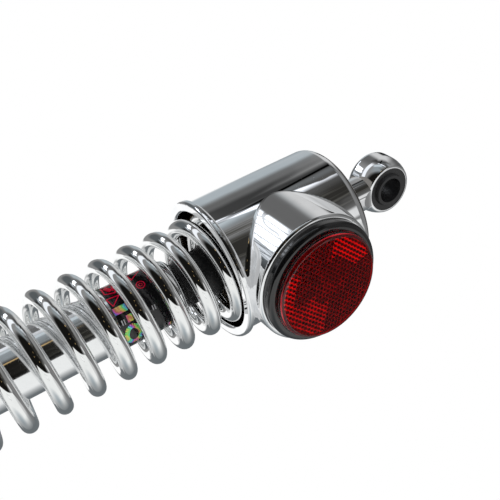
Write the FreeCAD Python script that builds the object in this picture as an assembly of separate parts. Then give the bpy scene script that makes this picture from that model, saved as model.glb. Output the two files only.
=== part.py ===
import FreeCAD, Part
import math
import os

# Rear shock absorber with a covered coil spring and an oil damper.
# The origin is the centre of the upper eye's bore.  +Z runs up the shock's axis, away from the
# lower eye, Y is the axis of both eyes, and the side reflector faces -Y.  All sizes are millimetres.

Vector = FreeCAD.Vector
ORIGIN = Vector(0, 0, 0)
Y_AXIS = Vector(0, 1, 0)
Z_AXIS = Vector(0, 0, 1)

# Driving dimensions
EYE_TO_EYE = 340.0
TRAVEL = 46.0
RUNNING = 0.05          # radial clearance of every running fit
FACE_GAP = 0.05         # gap between flat faces of pieces that turn on each other
FREE_GAP = 0.3          # gap between pieces that only pass close to each other

# Upper eye and its rubber bush
STUD_R = 6.0
BUSH_R = 10.5
BUSH_LIP_R = 8.0
BUSH_HALF_LENGTH = 8.3
BUSH_SHOULDER_Y = 6.7
BUSH_FAR_SHOULDER_Y = 7.9
EYE_NEAR_R = 11.5
EYE_NEAR_Y = -7.0
EYE_NEAR_ROUND = 1.2
EYE_FULL_R = 13.8
EYE_FULL_Y = 1.0          # where the ring is thickest
EYE_FAR_Y = 8.2
EYE_FAR_ROUND = 3.0
NECK_R = 8.2
NECK_CHEEK_Z = -18.0
EYE_CHEEK_Y = 6.8
NECK_COLLAR_R = 11.5
NECK_COLLAR_H = 3.0
SPIGOT_R = 8.0

# Shroud and reflector boss
SHROUD_R = 30.0
SHROUD_WALL = 1.2
SHROUD_TOP_Z = -29.5
SHROUD_MOUTH_Z = -96.0
SHOULDER_R = 4.5
RIM_INNER_R = 27.0
RIM_OUTER_R = 31.7
RIM_H = 3.2
RIM_ROUND = 1.2
BOSS_Z = -65.1
BOSS_R = 28.5
BOSS_WALL = 1.6
BOSS_EDGE_R = 1.35
BOSS_FACE_Y = -37.0
BOSS_BLEND_R = 2.5

# Reflector
BEZEL_R = 26.9
BEZEL_GROOVE = 0.5
BEZEL_SIDE_Y = -39.2
BEZEL_FRONT_R = 24.8
BEZEL_FRONT_Y = -41.7
PLUG_R = 25.0
PLUG_DEPTH = 4.0
LENS_R = 24.0
LENS_BEVEL = 0.7
LENS_FRONT_Y = -45.0
LENS_BACK_Y = -40.0
BACK_PLATE_T = 1.2

# Spring.  Its turns are counted upwards from the level of the shroud's mouth.
WIRE_R = 3.4
COIL_R = 21.8
MOUTH_PITCH = 12.28
PITCH_DROP = 0.36         # change of the pitch from one turn to the next above it
LOOSEST_TURN = -7.0       # the pitch is constant below this turn
END_PITCH = 6.95
MOUTH_PHASE_DEG = -105.0  # direction of the wire's centre at turn 0

# Upper spring seat, isolator and rod
SEAT_T = 2.2
SEAT_R = 26.6
SEAT_RIM_T = 1.1
ISOLATOR_T = 2.0
SPIGOT_BELOW_SEAT = 0.2
ROD_R = 5.0
ROD_TAIL_R = 4.0
ROD_TOP_Z = -18.0
LOCKNUT_AF = 17.0
LOCKNUT_H = 6.0

# Piston
GROOVE_R = 7.8
GROOVE_H = 3.0
GROOVE_DEPTH = 6.0        # from the piston's top to the groove's lower side

# Damper body
TUBE_R = 13.2
TUBE_WALL = 1.2
CAP_TOP_Z = -111.5
CAP_R = 10.4
ROLL_R = 2.6
INNER_TUBE_R = 10.0
BORE_R = 9.0
TUBE_END_Z = -314.0
LABEL_T = 0.15
LABEL_TOP_Z = -118.0
LABEL_H = 25.0
LABEL_ARC_DEG = 352.0

# Bump stop
BUMP_TIP_R = 9.7
BUMP_TOP_R = 12.0

# Lower spring seat
LOWER_SEAT_Z = -288.0
LOWER_SEAT_T = 2.5
LOWER_SEAT_R = 28.5
LOWER_LIP_T = 1.5
LOWER_LIP_H = 6.5
COLLAR_T = 2.2
COLLAR_UP = 4.0
COLLAR_DOWN = 6.5
CIRCLIP_H = 1.5
CIRCLIP_DEPTH = 0.5
CIRCLIP_R = 15.2
CIRCLIP_GAP_DEG = 40.0

# Lower eye
LOWER_EYE_R = 14.5
LOWER_EYE_HALF_WIDTH = 10.0
LOWER_STUB_R = 10.0
SLEEVE_R = 7.5
SLEEVE_BORE_R = 5.1
SLEEVE_HALF_LENGTH = 11.5

# Levels that follow from the sizes above
SEAT_TOP_Z = SHROUD_TOP_Z - SHROUD_WALL - FACE_GAP
SEAT_LOW_Z = SEAT_TOP_Z - SEAT_T
SPIGOT_LOW_Z = SEAT_LOW_Z - SPIGOT_BELOW_SEAT
SPRING_TOP_Z = SEAT_LOW_Z - ISOLATOR_T
LOCKNUT_LOW_Z = SPIGOT_LOW_Z - LOCKNUT_H
BUMP_TOP_Z = LOCKNUT_LOW_Z - TRAVEL - FREE_GAP
TUBE_BORE_R = TUBE_R - TUBE_WALL
ROLL_Z = CAP_TOP_Z - 1.0 - ROLL_R
CAP_LOW_Z = ROLL_Z - 1.2
SEAL_LOW_Z = CAP_LOW_Z - 4.0
GUIDE_SHOULDER_Z = SEAL_LOW_Z - 5.0
GUIDE_LOW_Z = GUIDE_SHOULDER_Z - 7.0
REBOUND_TOP_Z = GUIDE_LOW_Z - 0.7
REBOUND_H = 15.0
CHECK_PLATE_Z = REBOUND_TOP_Z - REBOUND_H
CHECK_PLATE_T = 1.0
PISTON_TOP_Z = CHECK_PLATE_Z - CHECK_PLATE_T
PISTON_H = 9.0
GROOVE_Z = PISTON_TOP_Z - GROOVE_DEPTH
SHIMS_Z = PISTON_TOP_Z - PISTON_H
SHIMS_T = 1.2
PISTON_NUT_Z = SHIMS_Z - SHIMS_T
PISTON_NUT_H = 6.0
FOOT_Z = -304.0
FOOT_FLANGE_T = 4.0
BASE_CAP_Z = FOOT_Z - FOOT_FLANGE_T
BASE_CAP_T = 5.0
STUB_TOP_Z = BASE_CAP_Z - BASE_CAP_T
LOWER_EYE_Z = -EYE_TO_EYE
CIRCLIP_Z = LOWER_SEAT_Z - COLLAR_DOWN - LOWER_SEAT_T


def disc(radius, low, high):
    """A solid cylinder on the shock's axis between two levels."""
    return Part.makeCylinder(radius, high - low, Vector(0, 0, low), Z_AXIS)


def ring(inner, outer, low, high):
    """A tube on the shock's axis between two levels."""
    return disc(outer, low, high).cut(disc(inner, low, high))


def cross_disc(radius, near_y, far_y, level):
    """A solid cylinder parallel to the eyes' axis, at a level on the shock's axis."""
    return Part.makeCylinder(radius, far_y - near_y, Vector(0, near_y, level), Y_AXIS)


def hexagon(across_flats, low, high):
    """A hexagonal prism on the shock's axis."""
    corner = across_flats / math.sqrt(3)
    points = []
    for side in range(7):
        angle = math.radians(60 * side)
        points.append(Vector(corner * math.cos(angle), corner * math.sin(angle), low))
    face = Part.Face(Part.makePolygon(points))
    return face.extrude(Vector(0, 0, high - low))


def line(start, end):
    return Part.LineSegment(start, end).toShape()


def arc(start, middle, end):
    return Part.Arc(start, middle, end).toShape()


def chain(points):
    """The straight edges of an open outline, in order."""
    return [line(a, b) for a, b in zip(points, points[1:])]


def profile_point(radius, level):
    return Vector(radius, 0, level)


def turned(edges, base=ORIGIN, axis=Z_AXIS):
    """A solid of revolution from the edges of a closed half outline."""
    face = Part.Face(Part.Wire(edges))
    return face.revolve(base, axis, 360)


def turned_outline(points):
    """A solid turned about the shock's axis from (radius, level) corners."""
    corners = [profile_point(radius, level) for radius, level in points]
    return turned(chain(corners + corners[:1]))


def turned_across(points, level):
    """A solid turned about an eye's axis from (radius, y) corners."""
    corners = [Vector(radius, y, level) for radius, y in points]
    return turned(chain(corners + corners[:1]), Vector(0, 0, level), Y_AXIS)


def quarter(centre, radius, start_deg, end_deg):
    """An arc in the XZ plane, about a (radius, level) centre."""
    def at(angle_deg):
        angle = math.radians(angle_deg)
        return profile_point(centre[0] + radius * math.cos(angle), centre[1] + radius * math.sin(angle))
    return arc(at(start_deg), at((start_deg + end_deg) / 2), at(end_deg))


def nut(across_flats, bore, low, high):
    """A hexagonal nut with both faces chamfered."""
    corner = across_flats / math.sqrt(3)
    chamfer = 0.6
    envelope = turned_outline([
        (0, low), (corner - 1.2, low), (corner, low + chamfer),
        (corner, high - chamfer), (corner - 1.2, high), (0, high),
    ])
    return hexagon(across_flats, low, high).common(envelope).cut(disc(bore, low, high))


# Upper end

def upper_eye_bush():
    """Rubber bush with a raised lip round its bore at both faces."""
    return turned_across([
        (STUD_R, -BUSH_HALF_LENGTH), (BUSH_LIP_R - 0.6, -BUSH_HALF_LENGTH),
        (BUSH_LIP_R, -BUSH_SHOULDER_Y), (BUSH_R, -BUSH_SHOULDER_Y),
        (BUSH_R, BUSH_FAR_SHOULDER_Y), (BUSH_LIP_R, BUSH_FAR_SHOULDER_Y),
        (BUSH_LIP_R - 0.6, BUSH_HALF_LENGTH), (STUD_R, BUSH_HALF_LENGTH),
    ], 0)


def eye_ball():
    """The eye before it is bored: a disc that swells away from its near face, rounded at the far one."""
    rise = EYE_FULL_Y - EYE_NEAR_Y
    swell = EYE_FULL_R - EYE_NEAR_R
    swell_r = (rise ** 2 + swell ** 2) / (2 * swell)
    corner_y = EYE_FAR_Y - EYE_FAR_ROUND
    corner_r = EYE_FULL_R - EYE_FAR_ROUND

    def on_arc(radius, y, size, degrees):
        angle = math.radians(degrees)
        return Vector(radius + size * math.cos(angle), y + size * math.sin(angle), 0)

    near_deg = -math.degrees(math.asin(rise / swell_r))
    near = on_arc(EYE_FULL_R - swell_r, EYE_FULL_Y, swell_r, near_deg)
    middle = on_arc(EYE_FULL_R - swell_r, EYE_FULL_Y, swell_r, near_deg / 2)
    full = Vector(EYE_FULL_R, EYE_FULL_Y, 0)
    corner = Vector(EYE_FULL_R, corner_y, 0)
    far = Vector(corner_r, EYE_FAR_Y, 0)
    edges = [
        line(Vector(0, EYE_NEAR_Y, 0), near),
        arc(near, middle, full),
        line(full, corner),
        arc(corner, on_arc(corner_r, corner_y, EYE_FAR_ROUND, 45), far),
        line(far, Vector(0, EYE_FAR_Y, 0)),
        line(Vector(0, EYE_FAR_Y, 0), Vector(0, EYE_NEAR_Y, 0)),
    ]
    ball = turned(edges, ORIGIN, Y_AXIS)
    rim = [edge for edge in ball.Edges if edge.BoundBox.YMax < EYE_NEAR_Y + 0.1 and edge.BoundBox.XLength > 1]
    return ball.makeFillet(EYE_NEAR_ROUND, rim)


def eye_neck(low_z):
    """Round neck whose sides hollow in to the eye's width where it meets the eye."""
    top_z = -0.65 * EYE_FULL_R
    reach = NECK_R + 1
    outline = []
    for side in (1, -1):
        foot = Vector(-NECK_R, side * reach, NECK_CHEEK_Z)
        waist = Vector(-NECK_R, side * (EYE_CHEEK_Y + 0.8), NECK_CHEEK_Z + 4.2)
        head = Vector(-NECK_R, side * EYE_CHEEK_Y, top_z)
        outline.append(arc(foot, waist, head))
    corners = [Vector(-NECK_R, reach, NECK_CHEEK_Z), Vector(-NECK_R, reach, low_z),
               Vector(-NECK_R, -reach, low_z), Vector(-NECK_R, -reach, NECK_CHEEK_Z)]
    top = line(Vector(-NECK_R, EYE_CHEEK_Y, top_z), Vector(-NECK_R, -EYE_CHEEK_Y, top_z))
    edges = Part.__sortEdges__(outline + chain(corners) + [top])
    cheeks = Part.Face(Part.Wire(edges)).extrude(Vector(2 * NECK_R, 0, 0))
    return disc(NECK_R, low_z, top_z).common(cheeks)


def upper_eye():
    """Forged eye on a neck that screws onto the rod and carries the shroud on its shoulder."""
    shoulder_z = SHROUD_TOP_Z + FACE_GAP
    collar = disc(NECK_COLLAR_R, shoulder_z, shoulder_z + NECK_COLLAR_H)
    spigot = disc(SPIGOT_R - RUNNING, SPIGOT_LOW_Z, shoulder_z)
    rounded = collar.makeFillet(0.6, collar.Edges[:1])
    solid = eye_ball().fuse([eye_neck(shoulder_z), rounded, spigot]).removeSplitter()
    bore = cross_disc(BUSH_R + RUNNING, 2 * EYE_NEAR_Y, 2 * EYE_FAR_Y, 0)
    thread = disc(ROD_R, SPIGOT_LOW_Z, ROD_TOP_Z)
    return solid.cut(bore).cut(thread)


def rod_locknut():
    return nut(LOCKNUT_AF, ROD_R, LOCKNUT_LOW_Z, SPIGOT_LOW_Z)


def upper_spring_seat():
    """Steel cup washer that carries the spring's upper end, with a rim turned down round it."""
    return turned_outline([
        (SPIGOT_R, SEAT_LOW_Z), (SPIGOT_R, SEAT_TOP_Z), (SEAT_R - 2.2, SEAT_TOP_Z),
        (SEAT_R, SEAT_TOP_Z - 1.2), (SEAT_R, SPRING_TOP_Z), (SEAT_R - SEAT_RIM_T, SPRING_TOP_Z),
        (SEAT_R - SEAT_RIM_T, SEAT_LOW_Z),
    ])


def seat_isolator():
    return ring(COIL_R - WIRE_R - 0.9, SEAT_R - SEAT_RIM_T - FREE_GAP, SPRING_TOP_Z, SEAT_LOW_Z)


# Shroud and reflector

def shroud_shell():
    """Drawn cover with a rounded shoulder, a central hole and an open lower end."""
    shoulder_centre = (SHROUD_R - SHOULDER_R, SHROUD_TOP_Z - SHOULDER_R)
    inner_r = SHROUD_R - SHROUD_WALL
    under_z = SHROUD_TOP_Z - SHROUD_WALL
    low_z = SHROUD_MOUTH_Z + RIM_H / 2
    edges = [
        line(profile_point(SPIGOT_R, SHROUD_TOP_Z), profile_point(shoulder_centre[0], SHROUD_TOP_Z)),
        quarter(shoulder_centre, SHOULDER_R, 90, 0),
        line(profile_point(SHROUD_R, shoulder_centre[1]), profile_point(SHROUD_R, low_z)),
        line(profile_point(SHROUD_R, low_z), profile_point(inner_r, low_z)),
        line(profile_point(inner_r, low_z), profile_point(inner_r, shoulder_centre[1])),
        quarter(shoulder_centre, SHOULDER_R - SHROUD_WALL, 0, 90),
        line(profile_point(shoulder_centre[0], under_z), profile_point(SPIGOT_R, under_z)),
        line(profile_point(SPIGOT_R, under_z), profile_point(SPIGOT_R, SHROUD_TOP_Z)),
    ]
    return turned(edges)


def mouth_rim():
    """Thick rounded rim round the shroud's mouth."""
    rim = ring(RIM_INNER_R, RIM_OUTER_R, SHROUD_MOUTH_Z, SHROUD_MOUTH_Z + RIM_H)
    corners = [edge for edge in rim.Edges if edge.BoundBox.ZLength < 0.1]
    return rim.makeFillet(RIM_ROUND, corners)


def reflector_boss():
    """Round boss with a rounded front edge, blended into a plain round shell."""
    boss = cross_disc(BOSS_R, BOSS_FACE_Y, 0, BOSS_Z)
    front = [edge for edge in boss.Edges if edge.BoundBox.YMax < BOSS_FACE_Y + 0.1]
    boss = boss.makeFillet(BOSS_EDGE_R, front)
    shell = disc(SHROUD_R, BOSS_Z - 2 * BOSS_R, BOSS_Z + 2 * BOSS_R)
    joined = shell.fuse(boss)
    root = [edge for edge in joined.Edges
            if edge.BoundBox.ZLength > BOSS_R and 1 < edge.BoundBox.YLength < BOSS_R]
    return joined.makeFillet(BOSS_BLEND_R, root)


def shroud():
    """The whole chromed cover in one piece: shell, thick rim and reflector boss."""
    height = disc(2 * SHROUD_R, SHROUD_MOUTH_Z + RIM_ROUND, SHROUD_TOP_Z - SHOULDER_R)
    core = disc(SHROUD_R - 0.6 * SHROUD_WALL, SHROUD_MOUTH_Z, SHROUD_TOP_Z)
    socket = cross_disc(BOSS_R - BOSS_WALL, BOSS_FACE_Y + BOSS_WALL, 0, BOSS_Z)
    mouth = cross_disc(PLUG_R, BOSS_FACE_Y, 0, BOSS_Z)
    wall = reflector_boss().common(height).cut(core).cut(socket).cut(mouth)
    return shroud_shell().fuse([wall, mouth_rim()]).removeSplitter()


def reflector_housing():
    """Black bezel that plugs into the boss, with a rounded front and a seat for the lens."""
    plug_y = BOSS_FACE_Y + PLUG_DEPTH
    floor_y = LENS_BACK_Y + BACK_PLATE_T
    groove_r = BEZEL_R - BEZEL_GROOVE
    groove_y = BOSS_FACE_Y - BEZEL_GROOVE

    def at(radius, y):
        return Vector(radius, y, BOSS_Z)

    back = [at(0, plug_y), at(PLUG_R, plug_y), at(PLUG_R, BOSS_FACE_Y), at(groove_r, BOSS_FACE_Y),
            at(groove_r, groove_y), at(BEZEL_R, groove_y - BEZEL_GROOVE), at(BEZEL_R, BEZEL_SIDE_Y)]
    front = [at(BEZEL_FRONT_R, BEZEL_FRONT_Y), at(LENS_R, BEZEL_FRONT_Y), at(LENS_R, floor_y),
             at(0, floor_y), at(0, plug_y)]
    crown = at(BEZEL_R - 0.6, (BEZEL_SIDE_Y + BEZEL_FRONT_Y) / 2 - 0.5)
    edges = chain(back) + [arc(back[-1], crown, front[0])] + chain(front)
    return turned(edges, at(0, 0), Y_AXIS)


def reflector_back_plate():
    """Plate that seals the prisms on the lens's back."""
    return cross_disc(LENS_R, LENS_BACK_Y, LENS_BACK_Y + BACK_PLATE_T, BOSS_Z)


def reflector_lens():
    """Thick lens that stands proud of the bezel, with a bevel round its flat front."""
    return turned_across([
        (0, LENS_BACK_Y), (LENS_R, LENS_BACK_Y), (LENS_R, LENS_FRONT_Y + LENS_BEVEL),
        (LENS_R - LENS_BEVEL, LENS_FRONT_Y), (0, LENS_FRONT_Y),
    ], BOSS_Z)


# Spring

def helix(start_z, turns, pitch, start_deg, radius):
    """A right-handed helix on the shock's axis."""
    edge = Part.makeHelix(pitch, turns * pitch, radius).Edges[0]
    edge.rotate(ORIGIN, Z_AXIS, start_deg)
    edge.translate(Vector(0, 0, start_z))
    return edge


def swept_wire(path, start_deg, start_z, radius, wire_radius, pitch):
    """Round wire swept along a helical path from its lower end."""
    angle = math.radians(start_deg)
    start = Vector(radius * math.cos(angle), radius * math.sin(angle), start_z)
    lead = pitch / (2 * math.pi * radius)
    along = Vector(-math.sin(angle), math.cos(angle), lead)
    section = Part.Wire(Part.Circle(start, along, wire_radius).toShape())
    return Part.Wire(path).makePipeShell([section], True, True)


def coil_level(turn):
    """Height of the wire's centre over the mouth: the pitch grows downwards, then stays."""
    graded = max(turn, LOOSEST_TURN)
    level = MOUTH_PITCH * graded - PITCH_DROP * graded ** 2 / 2
    return level + (MOUTH_PITCH - PITCH_DROP * graded) * (turn - graded)


def turn_at(level):
    """The turn at which the wire reaches a height over the mouth, found by halving."""
    low = -30.0
    high = 10.0
    for _ in range(50):
        middle = (low + high) / 2
        if coil_level(middle) < level:
            low = middle
        else:
            high = middle
    return low


def spring():
    """Right-handed progressive coil spring with one closed turn at each end, ground flat."""
    tip = WIRE_R / 2
    low_z = LOWER_SEAT_Z - tip
    closed_z = SPRING_TOP_Z + tip - END_PITCH
    turn = turn_at(low_z + END_PITCH - SHROUD_MOUTH_Z)
    last = turn_at(closed_z - SHROUD_MOUTH_Z)
    foot_deg = MOUTH_PHASE_DEG + 360 * turn
    path = [helix(low_z, 1, END_PITCH, foot_deg, COIL_R)]
    while turn < last:
        step = min(1, last - turn)
        pitch = (coil_level(turn + step) - coil_level(turn)) / step
        start_z = SHROUD_MOUTH_Z + coil_level(turn)
        path.append(helix(start_z, step, pitch, MOUTH_PHASE_DEG + 360 * turn, COIL_R))
        turn += step
    path.append(helix(closed_z, 1, END_PITCH, MOUTH_PHASE_DEG + 360 * last, COIL_R))
    coil = swept_wire(path, foot_deg, low_z, COIL_R, WIRE_R, END_PITCH)
    return coil.common(disc(2 * COIL_R, LOWER_SEAT_Z, SPRING_TOP_Z))


def rebound_spring():
    """Small top-out spring on the rod, between the rod guide and the piston."""
    wire_r = 0.7
    radius = 7.0
    turns = 4
    low_z = CHECK_PLATE_Z + wire_r
    pitch = (REBOUND_H - 2 * wire_r) / turns
    path = [helix(low_z + turn * pitch, 1, pitch, 0, radius) for turn in range(turns)]
    return swept_wire(path, 0, low_z, radius, wire_r, pitch)


# Rod and piston

def piston_rod():
    """Hard-chromed rod, threaded into the eye's neck, with a thinner tail for the piston."""
    shaft = disc(ROD_R, CHECK_PLATE_Z, ROD_TOP_Z)
    tail = disc(ROD_TAIL_R, PISTON_NUT_Z - PISTON_NUT_H - 2.0, CHECK_PLATE_Z)
    return shaft.fuse(tail).removeSplitter()


def check_plate():
    return ring(ROD_TAIL_R, 8.0, PISTON_TOP_Z, CHECK_PLATE_Z)


def oil_ports(count, circle_r, port_r, low, high):
    """Round oil ways through a valve body, evenly spaced."""
    ports = []
    for index in range(count):
        angle = 2 * math.pi * index / count
        base = Vector(circle_r * math.cos(angle), circle_r * math.sin(angle), low)
        ports.append(Part.makeCylinder(port_r, high - low, base, Z_AXIS))
    return ports


def piston():
    """Piston body with a groove for its ring and six oil ways."""
    body = ring(ROD_TAIL_R, BORE_R - 0.15, SHIMS_Z, PISTON_TOP_Z)
    groove = ring(GROOVE_R, BORE_R, GROOVE_Z, GROOVE_Z + GROOVE_H)
    return body.cut(groove).cut(oil_ports(6, 6.0, 0.9, SHIMS_Z, PISTON_TOP_Z))


def piston_ring():
    return ring(GROOVE_R, BORE_R - RUNNING, GROOVE_Z, GROOVE_Z + GROOVE_H)


def rebound_shims():
    """Stack of spring-steel shims, each smaller than the one above it."""
    upper = ring(ROD_TAIL_R, 7.4, SHIMS_Z - SHIMS_T / 2, SHIMS_Z)
    lower = ring(ROD_TAIL_R, 6.2, PISTON_NUT_Z, SHIMS_Z - SHIMS_T / 2)
    return upper.fuse(lower).removeSplitter()


def piston_nut():
    return nut(13.0, ROD_TAIL_R, PISTON_NUT_Z - PISTON_NUT_H, PISTON_NUT_Z)


# Damper body

def damper_tube():
    """Outer tube, rolled in over the seal cap at its top and grooved for the circlip."""
    centre = (TUBE_R - ROLL_R, ROLL_Z)
    roll_inner = ROLL_R - TUBE_WALL
    top_z = ROLL_Z + ROLL_R
    edges = [
        line(profile_point(TUBE_BORE_R, TUBE_END_Z), profile_point(TUBE_R, TUBE_END_Z)),
        line(profile_point(TUBE_R, TUBE_END_Z), profile_point(TUBE_R, ROLL_Z)),
        quarter(centre, ROLL_R, 0, 90),
        line(profile_point(centre[0], top_z), profile_point(centre[0], top_z - TUBE_WALL)),
        quarter(centre, roll_inner, 90, 0),
        line(profile_point(TUBE_BORE_R, ROLL_Z), profile_point(TUBE_BORE_R, TUBE_END_Z)),
    ]
    groove = ring(TUBE_R - CIRCLIP_DEPTH, TUBE_R + 1, CIRCLIP_Z - CIRCLIP_H, CIRCLIP_Z)
    return turned(edges).cut(groove)


def seal_cap():
    """Steel cap whose rim the tube is rolled over."""
    return turned_outline([
        (ROD_R + 0.4, CAP_TOP_Z), (CAP_R - 0.8, CAP_TOP_Z), (CAP_R, CAP_TOP_Z - 0.8),
        (CAP_R, ROLL_Z), (TUBE_BORE_R, ROLL_Z), (TUBE_BORE_R, CAP_LOW_Z),
        (ROD_R + 0.4, CAP_LOW_Z),
    ])


def oil_seal():
    return ring(ROD_R + RUNNING, TUBE_BORE_R, SEAL_LOW_Z, CAP_LOW_Z)


def rod_guide():
    """Sintered guide, piloted in the inner tube."""
    flange = ring(ROD_R + RUNNING, TUBE_BORE_R, GUIDE_SHOULDER_Z, SEAL_LOW_Z)
    pilot = ring(ROD_R + RUNNING, BORE_R, GUIDE_LOW_Z, GUIDE_SHOULDER_Z)
    return flange.fuse(pilot).removeSplitter()


def inner_tube():
    return ring(BORE_R, INNER_TUBE_R, FOOT_Z, GUIDE_SHOULDER_Z)


def foot_valve():
    """Valve body between the working bore and the reserve chamber."""
    rivet_r = 2.0
    flange = ring(rivet_r, INNER_TUBE_R, BASE_CAP_Z, FOOT_Z)
    pilot = ring(rivet_r, BORE_R, FOOT_Z, FOOT_Z + 8.0)
    body = flange.fuse(pilot).removeSplitter()
    return body.cut(oil_ports(4, 5.5, 1.0, BASE_CAP_Z, FOOT_Z + 8.0))


def foot_valve_shim():
    return ring(2.0, 7.2, FOOT_Z + 8.0, FOOT_Z + 8.8)


def foot_valve_rivet():
    """Rivet that holds the shim on the valve body."""
    shank = disc(2.0, BASE_CAP_Z, FOOT_Z + 8.8)
    head = disc(3.4, FOOT_Z + 8.8, FOOT_Z + 10.4)
    return shank.fuse(head).removeSplitter()


def base_cap():
    return disc(TUBE_BORE_R, STUB_TOP_Z, BASE_CAP_Z)


def tube_label():
    """Thin wrapped label whose ends stop short of each other."""
    outer = Part.makeCylinder(TUBE_R + LABEL_T, LABEL_H, Vector(0, 0, LABEL_TOP_Z - LABEL_H),
                              Z_AXIS, LABEL_ARC_DEG)
    band = outer.cut(disc(TUBE_R, LABEL_TOP_Z - LABEL_H, LABEL_TOP_Z))
    band.rotate(ORIGIN, Z_AXIS, 90)
    return band


def bump_stop():
    """Rubber stop on the rod: a tapered body with a waist below its wider top."""
    height = BUMP_TOP_Z - CAP_TOP_Z
    bore = ROD_R + RUNNING
    return turned_outline([
        (bore, CAP_TOP_Z), (BUMP_TIP_R - 0.8, CAP_TOP_Z), (BUMP_TIP_R, CAP_TOP_Z + 0.8),
        (BUMP_TOP_R - 0.8, CAP_TOP_Z + 0.62 * height), (BUMP_TOP_R - 2.0, CAP_TOP_Z + 0.7 * height),
        (BUMP_TOP_R, CAP_TOP_Z + 0.8 * height), (BUMP_TOP_R, BUMP_TOP_Z - 1.0),
        (BUMP_TOP_R - 1.0, BUMP_TOP_Z), (bore, BUMP_TOP_Z),
    ])


# Lower seat and lower eye

def lower_spring_seat():
    """Pressed seat with a turned-up rim and a collar that turns on the tube."""
    inner = TUBE_R + RUNNING
    low_z = LOWER_SEAT_Z - LOWER_SEAT_T
    plate = ring(inner, LOWER_SEAT_R, low_z, LOWER_SEAT_Z)
    lip = ring(LOWER_SEAT_R - LOWER_LIP_T, LOWER_SEAT_R, LOWER_SEAT_Z, LOWER_SEAT_Z + LOWER_LIP_H)
    collar = ring(inner, inner + COLLAR_T, low_z - COLLAR_DOWN + FACE_GAP, LOWER_SEAT_Z + COLLAR_UP)
    seat = plate.fuse([lip, collar]).removeSplitter()
    corner = [edge for edge in seat.Edges
              if edge.BoundBox.XLength > 2 * LOWER_SEAT_R - 1 and abs(edge.BoundBox.ZMax - low_z) < 0.1]
    return seat.makeFillet(LOWER_SEAT_T - 0.3, corner)


def seat_circlip():
    """Open snap ring in the tube's groove, under the seat's collar."""
    arc_deg = 360 - CIRCLIP_GAP_DEG
    low_z = CIRCLIP_Z - CIRCLIP_H
    outer = Part.makeCylinder(CIRCLIP_R, CIRCLIP_H, Vector(0, 0, low_z), Z_AXIS, arc_deg)
    clip = outer.cut(disc(TUBE_R - CIRCLIP_DEPTH, low_z, CIRCLIP_Z))
    clip.rotate(ORIGIN, Z_AXIS, CIRCLIP_GAP_DEG / 2)
    return clip


def lower_eye():
    """Plain eye welded to the closed end of the tube by a short stub."""
    eye = cross_disc(LOWER_EYE_R, -LOWER_EYE_HALF_WIDTH, LOWER_EYE_HALF_WIDTH, LOWER_EYE_Z)
    rims = [edge for edge in eye.Edges if abs(edge.BoundBox.YLength) < 0.1]
    eye = eye.makeFillet(1.2, rims)
    stub = disc(LOWER_STUB_R, LOWER_EYE_Z + 0.6 * LOWER_EYE_R, STUB_TOP_Z)
    foot = turned_outline([
        (0, TUBE_END_Z), (TUBE_R - 0.4, TUBE_END_Z), (TUBE_R - 0.4, TUBE_END_Z - 1.5),
        (LOWER_STUB_R, TUBE_END_Z - 4.5), (0, TUBE_END_Z - 4.5),
    ])
    bore = cross_disc(BUSH_R, -LOWER_EYE_HALF_WIDTH, LOWER_EYE_HALF_WIDTH, LOWER_EYE_Z)
    return eye.fuse([stub, foot]).removeSplitter().cut(bore)


def lower_eye_bush():
    """Rubber bush bonded in the lower eye."""
    outer = cross_disc(BUSH_R, -LOWER_EYE_HALF_WIDTH, LOWER_EYE_HALF_WIDTH, LOWER_EYE_Z)
    return outer.cut(cross_disc(SLEEVE_R + RUNNING, -LOWER_EYE_HALF_WIDTH,
                                LOWER_EYE_HALF_WIDTH, LOWER_EYE_Z))


def lower_eye_sleeve():
    """Steel sleeve for the lower mounting bolt."""
    outer = cross_disc(SLEEVE_R, -SLEEVE_HALF_LENGTH, SLEEVE_HALF_LENGTH, LOWER_EYE_Z)
    return outer.cut(cross_disc(SLEEVE_BORE_R, -SLEEVE_HALF_LENGTH, SLEEVE_HALF_LENGTH, LOWER_EYE_Z))


PIECES = [
    upper_eye_bush, upper_eye, rod_locknut, upper_spring_seat, seat_isolator, shroud,
    reflector_housing, reflector_back_plate, reflector_lens, spring, rebound_spring, piston_rod,
    check_plate, piston, piston_ring, rebound_shims, piston_nut, damper_tube, seal_cap, oil_seal,
    rod_guide, inner_tube, foot_valve, foot_valve_shim, foot_valve_rivet, base_cap, tube_label,
    bump_stop, lower_spring_seat, seat_circlip, lower_eye, lower_eye_bush, lower_eye_sleeve,
]

os.makedirs("parts", exist_ok=True)
for piece in PIECES:
    shape = piece()
    if not shape.isValid() or len(shape.Solids) != 1:
        raise RuntimeError(piece.__name__ + " is not one valid solid")
    shape.exportStep(os.path.join("parts", piece.__name__ + ".step"))
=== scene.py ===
import math

import bmesh
import bpy
from mathutils import Matrix, Vector


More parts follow.
